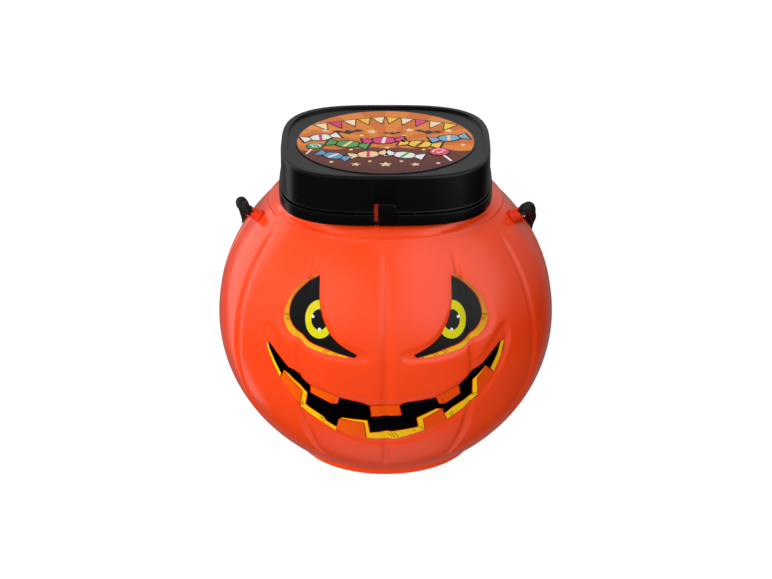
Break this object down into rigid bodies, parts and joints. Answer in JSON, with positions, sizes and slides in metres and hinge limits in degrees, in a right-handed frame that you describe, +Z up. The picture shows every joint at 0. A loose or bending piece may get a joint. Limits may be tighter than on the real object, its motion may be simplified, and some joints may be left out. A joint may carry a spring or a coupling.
{
  "type": "pumpkin candy container",
  "caption": "Round ribbed pumpkin jar with a recessed grinning face, a rounded-square press-on lid with tear band and pull tab, and a rope handle held by shoulder plugs.",
  "frame": {"origin": "centre of the foot's underside, on the surface the jar stands on", "axes": "+Z up through the lid, -Y out through the face, +X to the viewer's right when the face is looked at"},
  "size_m": [0.199, 0.2058, 0.1925],
  "materials": {
    "jar_plastic": "glossy translucent-looking orange moulding",
    "lid_plastic": "satin black",
    "band_plastic": "satin black",
    "tab_plastic": "satin black",
    "label_film": "printed, satin",
    "left_eye_print": "printed, glossy",
    "right_eye_print": "printed, glossy",
    "mouth_print": "printed, glossy",
    "rope_cord": "twisted cord, matte",
    "left_plug_plastic": "glossy orange",
    "right_plug_plastic": "glossy orange"
  },
  "bodies": {
    "jar": {"jar_body": "jar_plastic", "left_handle_plug": "left_plug_plastic", "right_handle_plug": "right_plug_plastic", "left_eye_film": "left_eye_print", "right_eye_film": "right_eye_print", "mouth_film": "mouth_print"},
    "lid": {"lid": "lid_plastic", "lid_label": "label_film", "tear_band": "band_plastic"},
    "tab": {"tear_tab": "tab_plastic"},
    "handle": {"handle_rope": "rope_cord"}
  },
  "joints": [
    {"name": "lid_lift", "type": "slide", "parent": "jar", "child": "lid", "axis": [0, 0, 1], "range_m": [0, 0.06]},
    {"name": "tear_tab_pull", "type": "hinge", "parent": "lid", "child": "tab", "pos_m": [0.0066, -0.0622, 0.17], "axis": [0, 0, 1], "range_deg": [0, 70]},
    {"name": "handle_swing", "type": "hinge", "parent": "jar", "child": "handle", "pos_m": [0, -0.0135, 0.1525], "axis": [1, 0, 0], "range_deg": [0, 150], "deforming": ["handle_rope"]}
  ]
}
